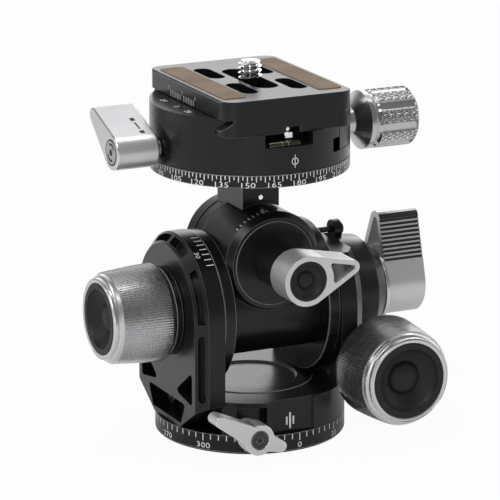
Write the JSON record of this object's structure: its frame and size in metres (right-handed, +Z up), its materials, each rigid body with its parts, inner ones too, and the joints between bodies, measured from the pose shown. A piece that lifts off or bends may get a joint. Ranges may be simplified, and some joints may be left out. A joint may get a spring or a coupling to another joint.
{
  "type": "geared tripod head",
  "caption": "Geared tripod head: panning yoke, stage tilted and rolled by worm gears, panning dovetail clamp with camera plate, knobs and lock levers.",
  "frame": {"origin": "mouth of the tripod thread, in the middle of the base's underside", "axes": "+Z up along the panning axes, +X to the right along the tilt axis, -Y to the front, where the lens points when level"},
  "size_m": [0.0948, 0.0663, 0.1027],
  "materials": {
    "black_anodised": "satin black anodised",
    "satin_aluminium": "bead-blasted and clear anodised",
    "steel": "turned",
    "chrome": "plated",
    "bronze": "turned",
    "gloss_black": "polished",
    "rubber_pad": "ribbed brown rubber",
    "level_glass": "clear, with green liquid"
  },
  "bodies": {
    "base": {"base_ring": "black_anodised", "thread_insert": "steel", "base_retainer": "steel", "retainer_screws": "steel"},
    "yoke": {"yoke_foot": "black_anodised", "centre_cap": "black_anodised", "left_arm": "black_anodised", "right_arm": "black_anodised", "arm_screws": "steel", "left_bush": "bronze", "right_bush": "bronze", "gear_housing": "black_anodised", "housing_screws": "steel", "worm_bushes": "bronze", "base_brake_shoe": "bronze"},
    "base_lock": {"base_lock_lever": "satin_aluminium", "base_lock_screw": "steel", "base_lock_stud": "steel"},
    "stage": {"tilt_housing": "black_anodised", "scale_flange": "black_anodised", "right_flange": "black_anodised", "flange_screws": "steel", "left_trunnion": "steel", "knob_collar": "black_anodised", "tilt_shaft": "steel", "tilt_worm_wheel": "bronze", "front_cap": "black_anodised", "roll_bushes": "bronze", "brake_disc": "bronze"},
    "tilt_drive": {"tilt_worm": "steel", "tilt_knob": "satin_aluminium", "tilt_knob_cap": "gloss_black"},
    "tilt_lock": {"tilt_lock_lever": "satin_aluminium", "tilt_lock_ring": "satin_aluminium", "tilt_lock_stud": "steel"},
    "roll_drive": {"roll_worm": "steel", "roll_knob": "satin_aluminium", "roll_knob_cap": "gloss_black"},
    "roll_lock": {"roll_lock_lever": "satin_aluminium", "roll_lock_cap": "gloss_black", "roll_lock_stud": "steel"},
    "post": {"roll_bracket": "black_anodised", "roll_shaft": "steel", "roll_worm_wheel": "bronze", "pan_scale_ring": "black_anodised", "pan_screws": "steel", "pan_retainer": "steel"},
    "clamp": {"clamp_body": "black_anodised", "bubble_level": "level_glass", "pan_brake_shoe": "bronze"},
    "jaw": {"clamp_jaw": "black_anodised", "jaw_pins": "steel"},
    "clamp_drive": {"clamp_knob": "satin_aluminium", "clamp_screw": "steel"},
    "pan_lock": {"pan_lock_lever": "satin_aluminium", "pan_lock_stud": "steel"},
    "pin": {"safety_pin": "chrome"},
    "plate": {"camera_plate": "black_anodised", "plate_pads": "rubber_pad"},
    "screw": {"camera_screw": "chrome"}
  },
  "joints": [
    {"name": "base_pan", "type": "hinge", "parent": "base", "child": "yoke", "pos_m": [0, 0, 0], "axis": [0, 0, 1], "continuous": true},
    {"name": "tilt", "type": "hinge", "parent": "yoke", "child": "stage", "pos_m": [0, 0, 0.036], "axis": [1, 0, 0], "range_deg": [-30, 30]},
    {"name": "tilt_knob_turn", "type": "hinge", "parent": "yoke", "child": "tilt_drive", "pos_m": [0.0286, 0, 0.0198], "axis": [0, 1, 0], "range_deg": [-900, 900]},
    {"name": "tilt_lock_turn", "type": "hinge", "parent": "yoke", "child": "tilt_lock", "pos_m": [0.04, 0, 0.036], "axis": [1, 0, 0], "range_deg": [-20, 60]},
    {"name": "base_lock_turn", "type": "hinge", "parent": "yoke", "child": "base_lock", "pos_m": [-0.0133, -0.03, 0.0076], "axis": [0, 1, 0], "range_deg": [-30, 30]},
    {"name": "roll", "type": "hinge", "parent": "stage", "child": "post", "pos_m": [0, 0, 0.05], "axis": [0, 1, 0], "range_deg": [-20, 20]},
    {"name": "roll_knob_turn", "type": "hinge", "parent": "stage", "child": "roll_drive", "pos_m": [-0.035, 0, 0.036], "axis": [1, 0, 0], "range_deg": [-600, 600]},
    {"name": "roll_lock_turn", "type": "hinge", "parent": "stage", "child": "roll_lock", "pos_m": [0, -0.03, 0.05], "axis": [0, 1, 0], "range_deg": [-40, 40]},
    {"name": "top_pan", "type": "hinge", "parent": "post", "child": "clamp", "pos_m": [0, 0, 0.08], "axis": [0, 0, 1], "continuous": true},
    {"name": "pan_lock_turn", "type": "hinge", "parent": "clamp", "child": "pan_lock", "pos_m": [-0.034, 0, 0.0813], "axis": [1, 0, 0], "range_deg": [-40, 40]},
    {"name": "jaw_slide", "type": "slide", "parent": "clamp", "child": "jaw", "axis": [1, 0, 0], "range_m": [0, 0.0036]},
    {"name": "clamp_knob_turn", "type": "hinge", "parent": "jaw", "child": "clamp_drive", "pos_m": [0.04, 0, 0.0828], "axis": [1, 0, 0], "range_deg": [0, 1080]},
    {"name": "safety_pin_press", "type": "slide", "parent": "clamp", "child": "pin", "axis": [0, 0, 1], "range_m": [-0.0012, 0], "stiffness_N_per_m": 100, "springref_m": 0.0005},
    {"name": "plate_slide", "type": "slide", "parent": "clamp", "child": "plate", "axis": [0, 1, 0], "range_m": [-0.006, 0.006]},
    {"name": "camera_screw_turn", "type": "hinge", "parent": "plate", "child": "screw", "pos_m": [0, 0, 0.095], "axis": [0, 0, 1], "continuous": true}
  ],
  "couplings": [
    {"joint": "tilt_knob_turn", "follows": "tilt", "ratio": -30},
    {"joint": "roll_knob_turn", "follows": "roll", "ratio": 30},
    {"joint": "jaw_slide", "follows": "clamp_knob_turn", "m_per_rad": 0.00015915}
  ]
}
